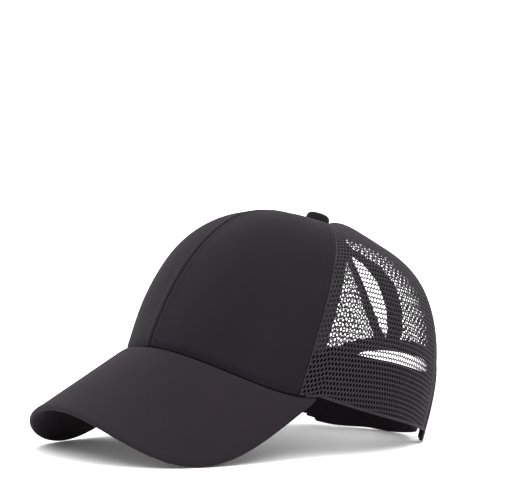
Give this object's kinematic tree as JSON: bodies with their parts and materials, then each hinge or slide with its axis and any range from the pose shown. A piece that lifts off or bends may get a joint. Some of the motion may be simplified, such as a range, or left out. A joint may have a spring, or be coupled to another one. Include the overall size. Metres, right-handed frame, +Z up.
{
  "type": "ponytail baseball cap",
  "caption": "Baseball cap with a curved visor, smooth front, open net sides and back, a ponytail slit above an arched opening, and a strap closure.",
  "frame": {"origin": "on the surface that the cap lies on, under the middle of its outer box", "axes": "+Z up, the visor points to -Y, the wearer's left is +X"},
  "size_m": [0.169, 0.2396, 0.1359],
  "materials": {
    "front_twill": "fine matt twill, dark charcoal",
    "visor_twill": "matt twill over a stiff board, dark charcoal",
    "net": "open knitted net, near black",
    "tape": "plain woven tape, dark charcoal",
    "sweatband_cloth": "plain cotton, near black",
    "strap": "hook-and-loop strap, near black"
  },
  "bodies": {
    "root": {"front_panel_left": "front_twill", "front_panel_right": "front_twill", "side_net_panel_left": "net", "side_net_panel_right": "net", "back_net_panel_left": "net", "back_net_panel_right": "net", "slit_binding_left": "tape", "slit_binding_right": "tape", "arch_binding": "tape", "front_seam_tape_left": "tape", "front_seam_tape_right": "tape", "rear_seam_tape_left": "tape", "rear_seam_tape_right": "tape", "centre_back_tape": "tape", "sweatband": "sweatband_cloth", "closure_strap_left": "strap", "closure_strap_right": "strap", "visor": "visor_twill", "button": "front_twill"}
  },
  "joints": []
}
